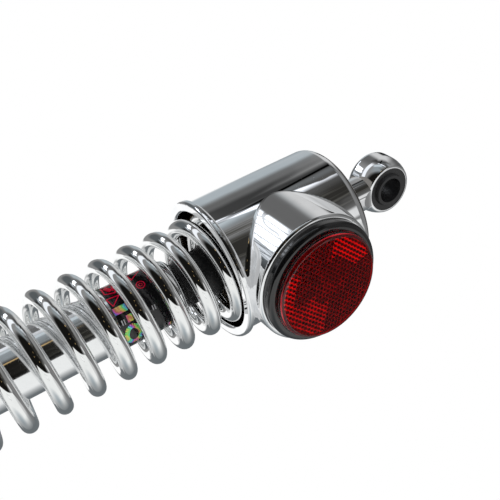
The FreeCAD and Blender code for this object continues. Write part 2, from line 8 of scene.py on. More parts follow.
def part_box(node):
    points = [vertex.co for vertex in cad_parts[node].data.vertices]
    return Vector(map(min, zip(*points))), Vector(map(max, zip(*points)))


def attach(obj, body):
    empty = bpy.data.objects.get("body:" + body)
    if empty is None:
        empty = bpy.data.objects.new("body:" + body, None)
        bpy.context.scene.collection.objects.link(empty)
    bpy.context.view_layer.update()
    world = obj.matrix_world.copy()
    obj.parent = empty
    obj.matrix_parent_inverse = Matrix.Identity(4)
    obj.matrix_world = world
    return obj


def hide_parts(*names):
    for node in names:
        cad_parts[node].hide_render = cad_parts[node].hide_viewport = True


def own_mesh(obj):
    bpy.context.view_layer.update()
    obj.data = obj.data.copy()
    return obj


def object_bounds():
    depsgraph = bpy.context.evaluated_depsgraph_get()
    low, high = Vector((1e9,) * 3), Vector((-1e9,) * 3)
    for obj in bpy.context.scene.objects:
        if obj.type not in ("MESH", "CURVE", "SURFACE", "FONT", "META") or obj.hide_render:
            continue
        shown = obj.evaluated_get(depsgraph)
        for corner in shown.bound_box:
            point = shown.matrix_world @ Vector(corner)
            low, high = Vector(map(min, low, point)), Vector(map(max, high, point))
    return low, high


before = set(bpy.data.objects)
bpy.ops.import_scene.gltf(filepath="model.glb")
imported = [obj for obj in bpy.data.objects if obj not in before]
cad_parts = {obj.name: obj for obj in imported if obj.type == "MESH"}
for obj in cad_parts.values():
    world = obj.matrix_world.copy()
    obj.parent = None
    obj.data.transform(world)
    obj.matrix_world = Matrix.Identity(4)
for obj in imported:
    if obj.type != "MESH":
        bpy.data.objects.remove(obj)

CAD_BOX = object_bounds()
MM = 0.001

# Camera: below and beside the shock absorber, rolled so that its axis runs across the picture
CAMERA_PLACE = Vector((-204.9, -253.1, -210.6)) * MM
CAMERA_AZIMUTH_DEG = 50.95
CAMERA_RISE_DEG = 22.74
CAMERA_ROLL_DEG = 63.1
CAMERA_LENS = 58.2

# Floor and key light
FLOOR_R = 1.5
FLOOR_GAP = 0.3 * MM
KEY_SIZE = 0.5
KEY_WATTS = 2.0
KEY_DISTANCE = 0.8

# Spring: its turns are counted upwards from the level of the cover's mouth
WIRE_R = 3.4 * MM
COIL_R = 21.8 * MM
MOUTH_PHASE = math.radians(-105.0)
MOUTH_PITCH = 12.28 * MM
PITCH_DROP = 0.36 * MM
LOOSEST_TURN = -7.0
END_PITCH = 6.95 * MM
SPRING_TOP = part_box("seat_isolator")[0].z
SEAT_GAP = 0.02 * MM
SPRING_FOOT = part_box("spring")[0].z + SEAT_GAP
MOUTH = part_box("shroud")[0].z

# Cover: its inside lies within this radius, under this level and over the rim at its mouth
COVER_SKIN_R_MM = 29.5
COVER_TOP_MM = -28.5
COVER_RIM_MM = 3.2

# Reflector
LENS_LOW, LENS_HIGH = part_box("reflector_lens")
LENS_Z = (LENS_LOW.z + LENS_HIGH.z) / 2
LENS_R = (LENS_HIGH.z - LENS_LOW.z) / 2
LENS_FRONT = LENS_LOW.y
LENS_BACK = LENS_HIGH.y
LENS_WALL = 1.0 * MM
LENS_EDGE_INSET = 2.3 * MM
LENS_EDGE_FOOT = 0.45 * MM
LENS_EDGE_DEPTH = 1.7 * MM
# Fine steps round the lens's side: inset from its radius, depth from its front
LENS_STEPS_MM = (
    (0.7, 1.85), (0.7, 2.05), (0.2, 2.2), (0.2, 3.0), (0.55, 3.15), (0.55, 3.35), (0.0, 3.5),
)
PRISM_PITCH = 2.05 * MM
PRISM_RIB = 0.66 * MM
PRISM_R = LENS_R - 2.0 * MM
PRISM_TURN = math.radians(44)
# The sheet of prisms lies just behind the lens's front wall
PRISM_WEB_Y = LENS_FRONT + LENS_WALL + 0.1 * MM
CELL_OUTER_R = PRISM_PITCH / math.sqrt(3)
CELL_R = CELL_OUTER_R - PRISM_RIB / math.sqrt(3)
CELL_RISE = 0.7071 * CELL_R
SKIRT_R = LENS_R - 1.05 * MM
WELD = 0.001 * MM
ROUND_SEGMENTS = 160

# Sectors of the prism sheet painted bright, as painted light that the prisms send back: first and last
# degree, inner share of the lens's radius, painted light
PAINTED_BRIGHT_SECTORS = ((107, 167, 0.58, 1.0), (283, 347, 0.32, 0.72), (227, 283, 0.72, 0.85))
# Painted light of the other sectors, above and below, and of the skirt
UPPER_DEGREES = (47, 167)
UPPER_PAINTED_LIGHT = 0.3
LOWER_PAINTED_LIGHT = 0.2
SKIRT_PAINTED_LIGHT = 0.3

# Label
LABEL_LOW, LABEL_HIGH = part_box("tube_label")
LABEL_R = (LABEL_HIGH.x - LABEL_LOW.x) / 2
LABEL_LIFT = 0.05 * MM
LABEL_START = math.radians(-129)
LABEL_STEP_MM = 0.6
MOTIF_STEP_MM = 41.0

# Studio: tints of its light
COOL = (0.90, 1.0, 1.06)
DAYLIGHT = (0.93, 0.98, 1.05)
BROWN = (1.05, 1.0, 0.9)
DUSTY = (1.05, 1.02, 0.92)
WARM = (1.3, 0.9, 0.4)


class Graph:
    """Short forms for the nodes of one material or of the world."""

    def __init__(self, tree):
        self.tree = tree
        tree.nodes.clear()

    def add(self, kind, inputs=None, **settings):
        node = self.tree.nodes.new(kind)
        for key, value in settings.items():
            setattr(node, key, value)
        for key, value in (inputs or {}).items():
            self.feed(node.inputs[key], value)
        return node

    def feed(self, socket, value):
        if isinstance(value, bpy.types.NodeSocket):
            self.tree.links.new(value, socket)
        else:
            socket.default_value = value

    def math(self, operation, first, second=0.0):
        return self.add("ShaderNodeMath", {0: first, 1: second}, operation=operation).outputs[0]

    def vector(self, operation, first, second=(0, 0, 0)):
        node = self.add("ShaderNodeVectorMath", {0: first, 1: second}, operation=operation)
        return node.outputs["Value" if operation in ("DOT_PRODUCT", "LENGTH") else "Vector"]

    def split(self, vector):
        return self.add("ShaderNodeSeparateXYZ", {0: vector}).outputs

    def noise(self, vector, scale, detail=2.0, roughness=0.5, output="Fac"):
        inputs = {"Vector": vector, "Scale": scale, "Detail": detail, "Roughness": roughness}
        return self.add("ShaderNodeTexNoise", inputs).outputs[output]

    def ramp(self, value, start, end, low=0.0, high=1.0, smooth=True):
        """A value carried from one range to another, held at both ends."""
        kind = "SMOOTHSTEP" if smooth else "LINEAR"
        inputs = {"Value": value, "From Min": start, "From Max": end, "To Min": low, "To Max": high}
        return self.add("ShaderNodeMapRange", inputs, interpolation_type=kind).outputs[0]

    def mix(self, factor, first, second):
        """Blend of two colours: a mix node keeps them on inputs 6 and 7 and the blend on output 2."""
        node = self.add("ShaderNodeMix", data_type="RGBA")
        self.feed(node.inputs[0], factor)
        self.feed(node.inputs[6], first)
        self.feed(node.inputs[7], second)
        return node.outputs[2]

    def bump(self, height, distance, normal=None):
        node = self.add("ShaderNodeBump", {"Height": height, "Distance": distance, "Strength": 1.0})
        if normal is not None:
            self.feed(node.inputs["Normal"], normal)
        return node.outputs["Normal"]


def rgb(red, green, blue):
    return (red, green, blue, 1.0)


def new_material(name, **sockets):
    """A material whose uniform values are set on the shader's own sockets."""
    material = bpy.data.materials.new(name)
    material.use_nodes = True
    graph = Graph(material.node_tree)
    shader = graph.add("ShaderNodeBsdfPrincipled")
    output = graph.add("ShaderNodeOutputMaterial")
    graph.feed(output.inputs["Surface"], shader.outputs[0])
    for key, value in sockets.items():
        shader.inputs[key.replace("_", " ")].default_value = value
    place = graph.add("ShaderNodeTexCoord").outputs["Object"]
    place_mm = graph.vector("MULTIPLY", place, (1000, 1000, 1000))
    return material, graph, shader, place_mm


# Materials

def plate(name, tint, rough, smudge_rough, wave=0.12, lines=0.0):
    """Bright plate: faint ripple, smudges, hairlines, and small dulled spots.

    The wave and the drawn lines are heights in millimetres.
    """
    material, graph, shader, place = new_material(name, Metallic=1.0)
    smudge = graph.noise(place, 0.11, 4.0, 0.6)
    worn = graph.ramp(smudge, 0.45, 0.75)
    hair = graph.noise(graph.vector("MULTIPLY", place, (5.0, 5.0, 0.25)), 1.0, 3.0, 0.7)
    spots = graph.ramp(graph.noise(place, 1.6, 2.0), 0.70, 0.78)
    dull = graph.math("MAXIMUM", graph.math("MULTIPLY", worn, 0.8), spots)
    hairy = graph.math("MULTIPLY", graph.ramp(hair, 0.5, 0.8), 0.35)
    graph.feed(shader.inputs["Roughness"], graph.ramp(
        graph.math("MAXIMUM", dull, hairy), 0.0, 1.0, rough, smudge_rough, False))
    shade = tuple(channel * 0.94 for channel in tint)
    graph.feed(shader.inputs["Base Color"], graph.mix(worn, rgb(*tint), rgb(*shade)))
    ripple = graph.noise(place, 0.055, 1.0, 0.4)
    normal = graph.bump(ripple, wave * MM)
    if lines:
        drawn = graph.noise(graph.vector("MULTIPLY", place, (3.0, 3.0, 0.02)), 1.0, 2.0, 0.6)
        normal = graph.bump(drawn, lines * MM, normal=normal)
    graph.feed(shader.inputs["Normal"], graph.bump(spots, 0.004 * MM, normal=normal))
    return material, graph, shader, place


def chrome(name, tint, rough, smudge_rough, wave, lines=0.0):
    return plate(name, tint, rough, smudge_rough, wave, lines)[0]


def cover_chrome():
    """Bright plate outside; inside the cover it is darker, brown and duller."""
    material, graph, shader, place = plate("chrome", (0.93, 0.94, 0.95), 0.012, 0.05)
    level = graph.split(place)[2]
    radius = graph.vector("LENGTH", graph.vector("MULTIPLY", place, (1, 1, 0)))
    within = graph.ramp(radius, COVER_SKIN_R_MM, COVER_SKIN_R_MM - 0.3)
    below = graph.ramp(level, COVER_TOP_MM, COVER_TOP_MM - 1.5)
    above = graph.ramp(level, MOUTH / MM + COVER_RIM_MM, MOUTH / MM + COVER_RIM_MM + 0.8)
    inside = graph.math("MULTIPLY", within, graph.math("MULTIPLY", below, above))
    outer_tint = shader.inputs["Base Color"].links[0].from_socket
    outer_rough = shader.inputs["Roughness"].links[0].from_socket
    # Darker brown base, in blotches, laid over the inside of the cover above its rim
    inside_brown = graph.mix(graph.noise(place, 0.25, 4.0), rgb(0.22, 0.18, 0.14), rgb(0.08, 0.065, 0.05))
    graph.feed(shader.inputs["Base Color"], graph.mix(inside, outer_tint, inside_brown))
    rough = graph.math("ADD", graph.math("MULTIPLY", inside, 0.22), outer_rough)
    graph.feed(shader.inputs["Roughness"], rough)
    return material


def metal(name, tint, dark, rough, grain, turned=False):
    """Plain steel or iron: grain, stains and, where it is turned, tool rings."""
    material, graph, shader, place = new_material(name, Metallic=1.0)
    patches = graph.ramp(graph.noise(place, 0.16, 5.0, 0.6), 0.42, 0.7)
    graph.feed(shader.inputs["Base Color"], graph.mix(patches, rgb(*tint), rgb(*dark)))
    fine = graph.noise(place, grain, 3.0, 0.6)
    graph.feed(shader.inputs["Roughness"], graph.ramp(fine, 0.3, 0.7, rough * 0.8, rough * 1.25))
    normal = graph.bump(fine, 0.012 * MM)
    if turned:
        radius = graph.vector("LENGTH", graph.vector("MULTIPLY", place, (1, 1, 0)))
        reach = graph.math("ADD", radius, graph.split(place)[2])
        rings = graph.math("SINE", graph.math("MULTIPLY", reach, 22.0))
        normal = graph.bump(rings, 0.0025 * MM, normal=normal)
    graph.feed(shader.inputs["Normal"], normal)
    return material


def rubber(name, tint, dusty, rough):
    """Moulded rubber with a faint grain, dust in patches and a soft sheen."""
    material, graph, shader, place = new_material(name, Specular_IOR_Level=0.45)
    dust = graph.ramp(graph.noise(place, 0.3, 5.0, 0.65), 0.48, 0.8)
    graph.feed(shader.inputs["Base Color"], graph.mix(dust, rgb(*tint), rgb(*dusty)))
    grain = graph.noise(place, 3.5, 4.0, 0.6)
    graph.feed(shader.inputs["Roughness"], graph.ramp(
        graph.math("ADD", dust, grain), 0.3, 1.3, rough, rough + 0.22))
    graph.feed(shader.inputs["Normal"], graph.bump(grain, 0.03 * MM))
    return material


def gloss_black(name, tint, rough):
    """Glossy moulding with hair scratches and a little sink waviness."""
    material, graph, shader, place = new_material(name, Specular_IOR_Level=0.8)
    wave = graph.noise(place, 0.09, 2.0)
    scratch = graph.noise(graph.vector("MULTIPLY", place, (0.6, 6.0, 0.9)), 1.0, 4.0, 0.7)
    mark = graph.ramp(scratch, 0.55, 0.85)
    lighter = tuple(channel * 2.2 for channel in tint)
    graph.feed(shader.inputs["Base Color"], graph.mix(mark, rgb(*tint), rgb(*lighter)))
    graph.feed(shader.inputs["Roughness"], graph.ramp(mark, 0.0, 1.0, rough, rough + 0.15))
    graph.feed(shader.inputs["Normal"], graph.bump(wave, 0.08 * MM))
    return material


def lens_red(name, index):
    """Clear red plastic with a trace of moulding waviness and rub marks."""
    material, graph, shader, place = new_material(name, Transmission_Weight=1.0, IOR=index)
    flow = graph.noise(place, 0.12, 3.0)
    graph.feed(shader.inputs["Base Color"], graph.mix(
        flow, rgb(0.98, 0.02, 0.035), rgb(0.92, 0.01, 0.03)))
    rub = graph.ramp(graph.noise(place, 0.9, 5.0, 0.7), 0.55, 0.85)
    graph.feed(shader.inputs["Roughness"], graph.ramp(rub, 0.0, 1.0, 0.004, 0.06))
    graph.feed(shader.inputs["Normal"], graph.bump(flow, 0.02 * MM))
    return material


def prism_red():
    """Red ribs and facets with painted light and shade: each face carries its own painted brightness."""
    material, graph, shader, place = new_material("prism_red", Metallic=1.0)
    painted_light = graph.add("ShaderNodeAttribute", attribute_name="painted_light").outputs["Fac"]
    vary = graph.ramp(graph.noise(place, 0.35, 3.0), 0.3, 0.7, 0.8, 1.15)
    level = graph.math("MULTIPLY", painted_light, vary)
    # Painted shade in dark red, deep red, and a painted highlight in pure red, chosen by each face's
    # painted light
    dark_red = rgb(0.032, 0.007, 0.006)
    deep_red = rgb(0.165, 0.0, 0.011)
    halfway = 0.45
    dim = graph.mix(graph.ramp(level, 0.0, halfway, smooth=False), dark_red, deep_red)
    bright = graph.mix(graph.ramp(level, halfway, 1.0, smooth=False), dim, rgb(1.0, 0.0, 0.0))
    graph.feed(shader.inputs["Base Color"], bright)
    graph.feed(shader.inputs["Roughness"], graph.ramp(level, 0.0, 1.0, 0.55, 0.35))
    return material


def film_black():
    """Glossy printed film with tiny creases and rubbed patches."""
    material, graph, shader, place = new_material("label_film", Specular_IOR_Level=0.5)
    rub = graph.ramp(graph.noise(place, 0.5, 5.0, 0.65), 0.5, 0.8)
    graph.feed(shader.inputs["Base Color"], graph.mix(
        rub, rgb(0.008, 0.008, 0.009), rgb(0.03, 0.03, 0.032)))
    graph.feed(shader.inputs["Roughness"], graph.ramp(rub, 0.0, 1.0, 0.07, 0.25))
    crease = graph.noise(place, 0.35, 3.0)
    graph.feed(shader.inputs["Normal"], graph.bump(crease, 0.06 * MM))
    return material


def foil_red():
    """Red foil with faint blotches."""
    material, graph, shader, place = new_material("foil_red", Metallic=0.1)
    blotch = graph.noise(place, 0.7, 3.0)
    graph.feed(shader.inputs["Base Color"], graph.mix(
        blotch, rgb(1.0, 0.0, 0.03), rgb(0.75, 0.0, 0.07)))
    graph.feed(shader.inputs["Roughness"], graph.ramp(blotch, 0.3, 0.7, 0.18, 0.32))
    return material


def foil_rainbow():
    """Diffraction foil: hue runs across the shape in soft bands."""
    material, graph, shader, place = new_material("foil_rainbow", Metallic=0.25)
    across = graph.split(place)
    along_tube = graph.math("MULTIPLY", across[2], 0.11)
    over_tube = graph.math("MULTIPLY", across[1], 0.07)
    band = graph.math("ADD", along_tube, over_tube)
    drift = graph.math("ADD", band, graph.noise(place, 0.25, 2.0))
    hue = graph.math("FRACT", graph.math("MULTIPLY", drift, 1.6))
    colour = graph.add("ShaderNodeCombineColor", {0: hue, 1: 0.78, 2: 1.0}, mode="HSV").outputs[0]
    graph.feed(shader.inputs["Base Color"], colour)
    sparkle = graph.noise(place, 3.0, 2.0)
    graph.feed(shader.inputs["Roughness"], graph.ramp(sparkle, 0.3, 0.7, 0.15, 0.3))
    return material


def ink_pale():
    """Pale print, speckled."""
    material, graph, shader, place = new_material("ink_pale", Specular_IOR_Level=0.5)
    speck = graph.noise(place, 2.0, 3.0)
    graph.feed(shader.inputs["Base Color"], graph.mix(speck, rgb(0.75, 0.76, 0.78), rgb(0.5, 0.5, 0.52)))
    graph.feed(shader.inputs["Roughness"], graph.ramp(speck, 0.3, 0.7, 0.25, 0.4))
    return material


def floor_material():
    """Pale studio paper."""
    material, graph, shader, place = new_material("floor_paper", Roughness=0.85)
    fibre = graph.noise(place, 0.9, 4.0)
    graph.feed(shader.inputs["Base Color"], graph.mix(
        fibre, rgb(0.80, 0.80, 0.80), rgb(0.84, 0.84, 0.83)))
    graph.feed(shader.inputs["Normal"], graph.bump(fibre, 0.02 * MM))
    return material


# Studio

def heading(azimuth_deg, rise_deg):
    """Unit direction from its compass angle and its rise over the horizon."""
    azimuth = math.radians(azimuth_deg)
    rise = math.radians(rise_deg)
    return Vector((
        math.cos(azimuth) * math.cos(rise), math.sin(azimuth) * math.cos(rise), math.sin(rise),
    ))


def tone(value):
    """Light for a display level from 0 to 255."""
    return (value / 255) ** 2.2


def grey(value):
    """Grey light for a display level."""
    return rgb(tone(value), tone(value), tone(value))


class Studio:
    """Surroundings painted by direction: soft boxes, flags and a lit room."""

    def __init__(self, graph, ray, start):
        self.graph = graph
        self.ray = ray
        self.light = start

    def patch(self, azimuth, rise, half_width, half_height, level, soft=0.15, turn=0.0,
              round_shape=False, tint=(1, 1, 1), lattice=0.0, through=None):
        """Lay a rectangle or an oval of light over what is there.

        Angles are in degrees and the level is a display level; above 255 it is a bright window.
        A lattice crosses it with dim bars, closer together the larger the value.
        """
        graph = self.graph
        centre = heading(azimuth, rise)
        side = Vector((-math.sin(math.radians(azimuth)), math.cos(math.radians(azimuth)), 0))
        up = centre.cross(side)
        roll = math.radians(turn)
        across = side * math.cos(roll) + up * math.sin(roll)
        along = up * math.cos(roll) - side * math.sin(roll)
        ahead = graph.vector("DOT_PRODUCT", self.ray, centre)
        safe = graph.math("MAXIMUM", ahead, 0.001)
        reach = []
        for axis, half in ((across, half_width), (along, half_height)):
            offset = graph.math("DIVIDE", graph.vector("DOT_PRODUCT", self.ray, axis), safe)
            share = graph.math("DIVIDE", offset, math.tan(math.radians(half)))
            reach.append(graph.math("ABSOLUTE", share))
        if round_shape:
            squares = [graph.math("MULTIPLY", part, part) for part in reach]
            span = graph.math("SQRT", graph.math("ADD", squares[0], squares[1]))
        else:
            span = graph.math("MAXIMUM", reach[0], reach[1])
        mask = graph.ramp(span, 1 + soft, 1 - soft)
        mask = graph.math("MULTIPLY", mask, graph.math("GREATER_THAN", ahead, 0.02))
        if lattice:
            bars = [graph.math("ABSOLUTE", graph.math("SINE", graph.math("MULTIPLY", part, lattice)))
                    for part in reach]
            panes = graph.ramp(graph.math("MINIMUM", bars[0], bars[1]), 0.2, 0.4, 0.2, 1.0)
            mask = graph.math("MULTIPLY", mask, panes)
        if through is not None:
            mask = graph.math("MULTIPLY", mask, through)
        light = tone(level)
        colour = rgb(*(light * channel for channel in tint))
        self.light = graph.mix(mask, self.light, colour)


def paint_room(studio):
    """Walls, ceiling and dark flags; each patch lies over the ones before it."""
    studio.patch(-15, 80, 55, 30, 90, soft=0.5, round_shape=True)
    studio.patch(-178, 12, 15, 30, 150, soft=0.5, tint=COOL)
    studio.patch(-172, 33, 18, 8, 85, soft=0.5)
    studio.patch(82, 29, 36, 13, 180, soft=0.35, tint=COOL)
    studio.patch(134, 16, 15, 18, 102, soft=0.7)
    studio.patch(152, 34, 12, 18, 62, soft=0.5)
    studio.patch(120, 46, 22, 12, 208, soft=0.6)
    studio.patch(80, 46, 11, 4, 10, soft=0.4)
    studio.patch(108, -24, 19, 30, 94, soft=0.35, tint=COOL, round_shape=True)


def paint_dark_side(studio, streaks):
    """The dark brown side of the room, with a paler, streaked stretch in it."""
    studio.patch(-125, -32, 50, 52, 27, soft=0.28, round_shape=True, tint=BROWN)
    studio.patch(-140, 24, 22, 16, 50, soft=0.5, tint=BROWN)
    studio.patch(-168, 21, 9, 6, 132, soft=0.6)
    studio.patch(-142, 24, 34, 15, 80, soft=0.4, through=streaks, tint=DUSTY)


def paint_soft_boxes(studio):
    """The large front soft box, its fall-off, and smaller lit cards round it."""
    studio.patch(-45, -12, 51, 55, 244, soft=0.05, turn=8, tint=(0.99, 1.0, 0.99))
    studio.patch(-25, -22, 20, 18, 176, soft=0.9, tint=COOL, round_shape=True)
    studio.patch(-104, 31, 7, 6, 225, soft=0.4)
    studio.patch(-38, 36, 40, 12, 205, soft=0.4, round_shape=True)
    studio.patch(20, 14, 42, 52, 112, soft=0.9, round_shape=True, tint=COOL)
    studio.patch(-60, 64, 50, 20, 125, soft=0.5, round_shape=True)
    studio.patch(36, -42, 18, 13, 232, soft=0.4, turn=-20)
    studio.patch(80, -52, 20, 11, 48, soft=0.4)


def paint_windows(studio):
    """Bright windows with crisp edges, two of them with panes, and the bars beside them."""
    studio.patch(-84, -24, 5, 8, 70, soft=0.08)
    studio.patch(-84, -24, 4.4, 7.4, 254, soft=0.08)
    studio.patch(62, -4, 13, 28, 262, soft=0.2, turn=-22)
    studio.patch(148, -27, 6.5, 35, 256, soft=0.25, turn=-8, tint=(0.95, 0.98, 1.03))
    studio.patch(131, -14, 4.5, 15, 420, soft=0.2, tint=DAYLIGHT, lattice=5.0)
    studio.patch(121, -35, 3.5, 7, 230, soft=0.4, tint=DAYLIGHT, lattice=5.0)
    studio.patch(169, 12, 5, 12, 205, soft=0.4, turn=-38, tint=COOL)
    studio.patch(172, 25, 1.3, 10, 300, soft=0.5, turn=-62, tint=(0.95, 0.98, 1.04))
    studio.patch(160, 30, 1.6, 11, 8, soft=0.5, turn=42)


def paint_lamps(studio):
    """Small warm lamps in the dark side of the room."""
    studio.patch(-155, 5, 1.6, 3.0, 190, soft=0.4, tint=WARM)
    studio.patch(-128, -28, 1.2, 1.2, 200, soft=0.4, tint=WARM)
    studio.patch(-138, -12, 1.2, 1.2, 190, soft=0.4, tint=WARM)
    studio.patch(-118, -8, 1.2, 1.2, 200, soft=0.4, tint=WARM)


def build_world():
    """The painted studio for reflections, an even light for matt faces, white for the camera."""
    world = bpy.data.worlds.new("studio")
    world.use_nodes = True
    graph = Graph(world.node_tree)
    ray = graph.add("ShaderNodeTexCoord").outputs["Generated"]
    wander = graph.noise(ray, 2.2, 2.0, 0.4, "Color")
    centred = graph.vector("SUBTRACT", wander, (0.5, 0.5, 0.5))
    sway = graph.vector("MULTIPLY", centred, (0.03, 0.03, 0.03))
    bent = graph.vector("ADD", ray, sway)
    upright = graph.vector("MULTIPLY", ray, (9.0, 9.0, 1.3))
    streaks = graph.ramp(graph.noise(upright, 1.0, 3.0, 0.6), 0.47, 0.62)
    studio = Studio(graph, bent, grey(138))
    paint_room(studio)
    paint_dark_side(studio, streaks)
    paint_soft_boxes(studio)
    paint_windows(studio)
    paint_lamps(studio)
    path = graph.add("ShaderNodeLightPath").outputs
    # The first reflection reads as depth 2, the next one as 3
    bounced = graph.ramp(path["Ray Depth"], 2.2, 2.8, 0.0, 0.65, smooth=False)
    light = graph.mix(bounced, studio.light, grey(228))
    light = graph.mix(path["Is Diffuse Ray"], light, grey(225))
    colour = graph.mix(path["Is Camera Ray"], light, rgb(1, 1, 1))
    background = graph.add("ShaderNodeBackground", {"Color": colour, "Strength": 1.0})
    output = graph.add("ShaderNodeOutputWorld")
    graph.feed(output.inputs["Surface"], background.outputs[0])
    bpy.context.scene.world = world
    bpy.context.scene.view_settings.view_transform = "Standard"


def add_camera():
    """Camera below the cover, looking up along the reflector's side."""
    forward = heading(CAMERA_AZIMUTH_DEG, CAMERA_RISE_DEG)
    data = bpy.data.cameras.new("camera")
    data.lens = CAMERA_LENS
    data.clip_start = 0.01
    camera = bpy.data.objects.new("camera", data)
    turned = forward.to_track_quat("-Z", "Y").to_matrix().to_4x4()
    roll = Matrix.Rotation(math.radians(CAMERA_ROLL_DEG), 4, "Z")
    camera.matrix_world = Matrix.Translation(CAMERA_PLACE) @ turned @ roll
    bpy.context.collection.objects.link(camera)
    bpy.context.scene.camera = camera


def add_floor():
    """Round pale floor just under the lower eye; reflections don't show it."""
    bm = bmesh.new()
    bmesh.ops.create_circle(bm, cap_ends=True, segments=96, radius=FLOOR_R)
    floor = mesh_object("floor", bm)
    floor.location.z = CAD_BOX[0].z - FLOOR_GAP
    floor.data.materials.append(floor_material())
    floor.visible_glossy = False


def add_key_light():
    """Soft light from above for the matt faces."""
    data = bpy.data.lights.new("key", "AREA")
    data.shape = "DISK"
    data.size = KEY_SIZE
    data.energy = KEY_WATTS
    light = bpy.data.objects.new("key", data)
    aim = Vector((0, 0, (CAD_BOX[0].z + CAD_BOX[1].z) / 2))
    light.location = aim + heading(-150, 60) * KEY_DISTANCE
    light.rotation_euler = (aim - light.location).to_track_quat("-Z", "Y").to_euler()
    light.visible_glossy = False
    bpy.context.collection.objects.link(light)


# Meshes

def mesh_object(name, bm, smooth=True):
    mesh = bpy.data.meshes.new(name)
    bm.to_mesh(mesh)
    bm.free()
    for face in mesh.polygons:
        face.use_smooth = smooth
    obj = bpy.data.objects.new(name, mesh)
    bpy.context.collection.objects.link(obj)
    return obj


def coil_level(turn):
    """Height of the wire's centre over the mouth: the pitch grows downwards, then stays."""
    graded = max(turn, LOOSEST_TURN)
    level = MOUTH_PITCH * graded - PITCH_DROP * graded ** 2 / 2
    return level + (MOUTH_PITCH - PITCH_DROP * graded) * (turn - graded)


def turn_at(level):
    """The turn at which the wire reaches a height over the mouth, found by halving."""
    low = -30.0
    high = 10.0
    for _ in range(50):
        middle = (low + high) / 2
        if coil_level(middle) < level:
            low = middle
        else:
            high = middle
    return low


def build_spring():
    """Coil spring with closed, ground ends, carried by the rod's body."""
    ring_points = 28
    steps_per_turn = 80
    tip = WIRE_R / 2
    top_turn = turn_at(SPRING_TOP + tip - END_PITCH - MOUTH)
    foot_turn = turn_at(SPRING_FOOT - tip + END_PITCH - MOUTH)
    turns = top_turn - foot_turn + 2
    steps = round(turns * steps_per_turn)
    bm = bmesh.new()
    rings = []
    for step in range(steps + 1):
        turn = foot_turn - 1 + turns * step / steps
        held = min(max(turn, foot_turn), top_turn)
        level = MOUTH + coil_level(held) + END_PITCH * (turn - held)
        pitch = END_PITCH if turn != held else MOUTH_PITCH - PITCH_DROP * max(turn, LOOSEST_TURN)
        angle = MOUTH_PHASE + 2 * math.pi * turn
        outward = Vector((math.cos(angle), math.sin(angle), 0))
        along = Vector((-math.sin(angle), math.cos(angle), pitch / (2 * math.pi * COIL_R))).normalized()
        upward = outward.cross(along)
        centre = outward * COIL_R + Vector((0, 0, level))
        ring = []
        for index in range(ring_points):
            spin = 2 * math.pi * index / ring_points
            place = centre + WIRE_R * (math.cos(spin) * outward + math.sin(spin) * upward)
            place.z = min(max(place.z, SPRING_FOOT), SPRING_TOP)
            ring.append(bm.verts.new(place))
        rings.append(ring)
    for one, two in zip(rings, rings[1:]):
        for index in range(ring_points):
            after = (index + 1) % ring_points
            bm.faces.new((one[index], two[index], two[after], one[after]))
    bm.faces.new(rings[0])
    bm.faces.new(rings[-1][::-1])
    spring = mesh_object("coil_spring", bm)
    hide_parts("spring")
    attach(spring, "rod")
    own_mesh(spring)
    return spring


def spun(name, outline):
    """A closed outline of (radius, y) corners turned about the reflector's axis."""
    bm = bmesh.new()
    rows = []
    for radius, y in outline:
        if radius == 0:
            rows.append([bm.verts.new((0, y, LENS_Z))])
            continue
        row = []
        for index in range(ROUND_SEGMENTS):
            angle = 2 * math.pi * index / ROUND_SEGMENTS
            row.append(bm.verts.new((radius * math.cos(angle), y, LENS_Z + radius * math.sin(angle))))
        rows.append(row)
    for one, two in zip(rows, rows[1:] + rows[:1]):
        if len(one) == 1 and len(two) == 1:
            continue
        for index in range(ROUND_SEGMENTS):
            after = (index + 1) % ROUND_SEGMENTS
            corners = []
            for row, first, second in ((one, index, after), (two, after, index)):
                if len(row) == 1:
                    corners.append(row[0])
                else:
                    corners.extend((row[first], row[second]))
            bm.faces.new(corners)
    bmesh.ops.recalc_face_normals(bm, faces=bm.faces)
    obj = mesh_object(name, bm)
    obj.data.set_sharp_from_angle(angle=math.radians(28))
    return obj


def build_lens(front_material, side_material):
    """Hollow-backed lens with a soft front edge and fine steps round its side."""
    edge_points = 6
    outline = [(0, LENS_FRONT)]
    for index in range(edge_points + 1):
        lean = math.pi / 2 * index / edge_points
        radius = LENS_R - LENS_EDGE_INSET + (LENS_EDGE_INSET - LENS_EDGE_FOOT) * math.sin(lean)
        outline.append((radius, LENS_FRONT + LENS_EDGE_DEPTH * (1 - math.cos(lean))))
    for inset_mm, depth_mm in LENS_STEPS_MM:
        outline.append((LENS_R - inset_mm * MM, LENS_FRONT + depth_mm * MM))
    outline.append((LENS_R, LENS_BACK))
    inner_r = LENS_R - LENS_WALL
    outline.append((inner_r, LENS_BACK))
    outline.append((inner_r, LENS_FRONT + LENS_WALL))
    outline.append((0, LENS_FRONT + LENS_WALL))
    lens = spun("lens_shell", outline)
    lens.data.materials.append(side_material)
    lens.data.materials.append(front_material)
    for face in lens.data.polygons:
        flat = abs(face.normal.y) > 0.99 and face.center.y < LENS_FRONT + 1.5 * LENS_WALL
        face.material_index = 1 if flat else 0
    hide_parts("reflector_lens")
    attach(lens, "cover")
    return lens


def painted_sector_light(x, z):
    """How much painted light a part of the prism sheet gets: six sectors, three of them partly painted
    bright.
    """
    turn = math.degrees(math.atan2(z, x)) % 360
    share = math.hypot(x, z) / LENS_R
    for first, last, inner_share, painted_light in PAINTED_BRIGHT_SECTORS:
        if first < turn < last and share > inner_share:
            return painted_light
    first, last = UPPER_DEGREES
    return UPPER_PAINTED_LIGHT if first < turn < last else LOWER_PAINTED_LIGHT


def add_face(bm, points, painted_light):
    """A face of its own points that carries its painted light, the brightness of its red."""
    made = bm.faces.new([bm.verts.new(point) for point in points])
    made[bm.faces.layers.float["painted_light"]] = painted_light


